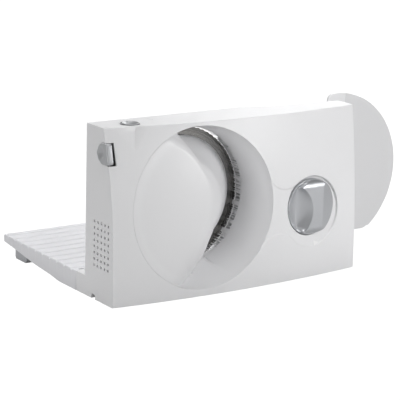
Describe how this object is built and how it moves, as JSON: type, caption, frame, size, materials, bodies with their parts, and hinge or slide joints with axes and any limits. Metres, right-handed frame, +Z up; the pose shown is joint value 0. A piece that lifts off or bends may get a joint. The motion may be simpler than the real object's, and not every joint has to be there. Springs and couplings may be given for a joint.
{
  "type": "food slicer",
  "caption": "Folding electric food slicer: upright housing with round exit bowl and scalloped blade, thickness dial, sliding fence with folding wing, ribbed folding table.",
  "frame": {"origin": "bottom centre of the bounding box, on the surface the slicer stands on", "axes": "+X along the housing towards the folding fence wing, +Y from the slice side to the food side and its table, +Z up"},
  "size_m": [0.4528, 0.272, 0.2073],
  "materials": {
    "blade": "ground and brushed, scalloped edge",
    "blade_gear": "natural moulding",
    "blade_screw": "moulded cap with a coin slot",
    "blade_spindle": "turned",
    "cooling_fan": "moulded",
    "dial_spindle": "moulded",
    "drive_frame": "moulded",
    "exit_bowl": "satin white moulding",
    "fence_carrier": "moulded",
    "fence_plate": "satin white moulding",
    "fence_wing": "satin white moulding",
    "foot_1": "matt",
    "foot_2": "matt",
    "foot_3": "matt",
    "foot_4": "matt",
    "front_cover": "satin white moulding",
    "housing_screw_1": "plated",
    "housing_screw_2": "plated",
    "housing_screw_3": "plated",
    "housing_screw_4": "plated",
    "idler_gear": "natural moulding",
    "motor_bearing_cap": "moulded",
    "motor_can": "plated",
    "motor_cradle": "moulded",
    "motor_shaft": "ground",
    "on_button": "silver grey",
    "rear_housing": "satin white moulding",
    "side_catch": "silver grey",
    "spindle_bush": "sintered",
    "switch_block": "moulded",
    "table": "satin white moulding",
    "table_leg_l": "matt grey",
    "table_leg_r": "matt grey",
    "table_pin_l": "drawn wire",
    "table_pin_r": "drawn wire",
    "thickness_knob": "silver grey",
    "top_inlay": "satin white moulding",
    "wing_pin": "drawn wire"
  },
  "bodies": {
    "housing": {"front_cover": "front_cover", "rear_housing": "rear_housing", "exit_bowl": "exit_bowl", "drive_frame": "drive_frame", "spindle_bush": "spindle_bush", "motor_can": "motor_can", "motor_bearing_cap": "motor_bearing_cap", "motor_cradle": "motor_cradle", "switch_block": "switch_block", "top_inlay": "top_inlay", "foot_1": "foot_1", "foot_2": "foot_2", "foot_3": "foot_3", "foot_4": "foot_4", "housing_screw_1": "housing_screw_1", "housing_screw_2": "housing_screw_2", "housing_screw_3": "housing_screw_3", "housing_screw_4": "housing_screw_4"},
    "blade_set": {"blade": "blade", "blade_gear": "blade_gear", "blade_spindle": "blade_spindle", "blade_screw": "blade_screw"},
    "idler": {"idler_gear": "idler_gear"},
    "rotor": {"motor_shaft": "motor_shaft", "cooling_fan": "cooling_fan"},
    "dial": {"thickness_knob": "thickness_knob", "dial_spindle": "dial_spindle"},
    "fence": {"fence_plate": "fence_plate", "fence_carrier": "fence_carrier", "wing_pin": "wing_pin"},
    "wing": {"fence_wing": "fence_wing"},
    "folding_table": {"table": "table", "table_leg_l": "table_leg_l", "table_leg_r": "table_leg_r", "table_pin_l": "table_pin_l", "table_pin_r": "table_pin_r"},
    "button": {"on_button": "on_button"},
    "catch": {"side_catch": "side_catch"}
  },
  "joints": [
    {"name": "blade_spin", "type": "hinge", "parent": "housing", "child": "blade_set", "pos_m": [-0.1049, -0.064, 0.1025], "axis": [0, 1, 0], "continuous": true},
    {"name": "idler_spin", "type": "hinge", "parent": "housing", "child": "idler", "pos_m": [-0.1696, -0.092, 0.115], "axis": [0, 1, 0], "continuous": true},
    {"name": "rotor_spin", "type": "hinge", "parent": "housing", "child": "rotor", "pos_m": [-0.1929, -0.095, 0.06], "axis": [0, 0, 1], "continuous": true},
    {"name": "dial_turn", "type": "hinge", "parent": "housing", "child": "dial", "pos_m": [0.0441, -0.122, 0.0885], "axis": [0, -1, 0], "range_deg": [0, 270]},
    {"name": "fence_slide", "type": "slide", "parent": "housing", "child": "fence", "axis": [0, -1, 0], "range_m": [0, 0.0136]},
    {"name": "wing_fold", "type": "hinge", "parent": "fence", "child": "wing", "pos_m": [0.1457, -0.0568, 0.11], "axis": [0, 0, 1], "range_deg": [0, 178]},
    {"name": "table_fold", "type": "hinge", "parent": "housing", "child": "folding_table", "pos_m": [-0.0529, -0.0388, 0.0224], "axis": [1, 0, 0], "range_deg": [0, 90]},
    {"name": "button_press", "type": "slide", "parent": "housing", "child": "button", "axis": [0, 0, -1], "range_m": [0, 0.002], "stiffness_N_per_m": 600, "springref_m": -0.002},
    {"name": "catch_press", "type": "slide", "parent": "housing", "child": "catch", "axis": [1, 0, 0], "range_m": [0, 0.0025], "stiffness_N_per_m": 500, "springref_m": -0.002}
  ],
  "couplings": [
    {"joint": "idler_spin", "follows": "blade_spin", "ratio": -7.2},
    {"joint": "rotor_spin", "follows": "blade_spin", "ratio": 28.8},
    {"joint": "fence_slide", "follows": "dial_turn", "m_per_rad": 0.0028648}
  ]
}
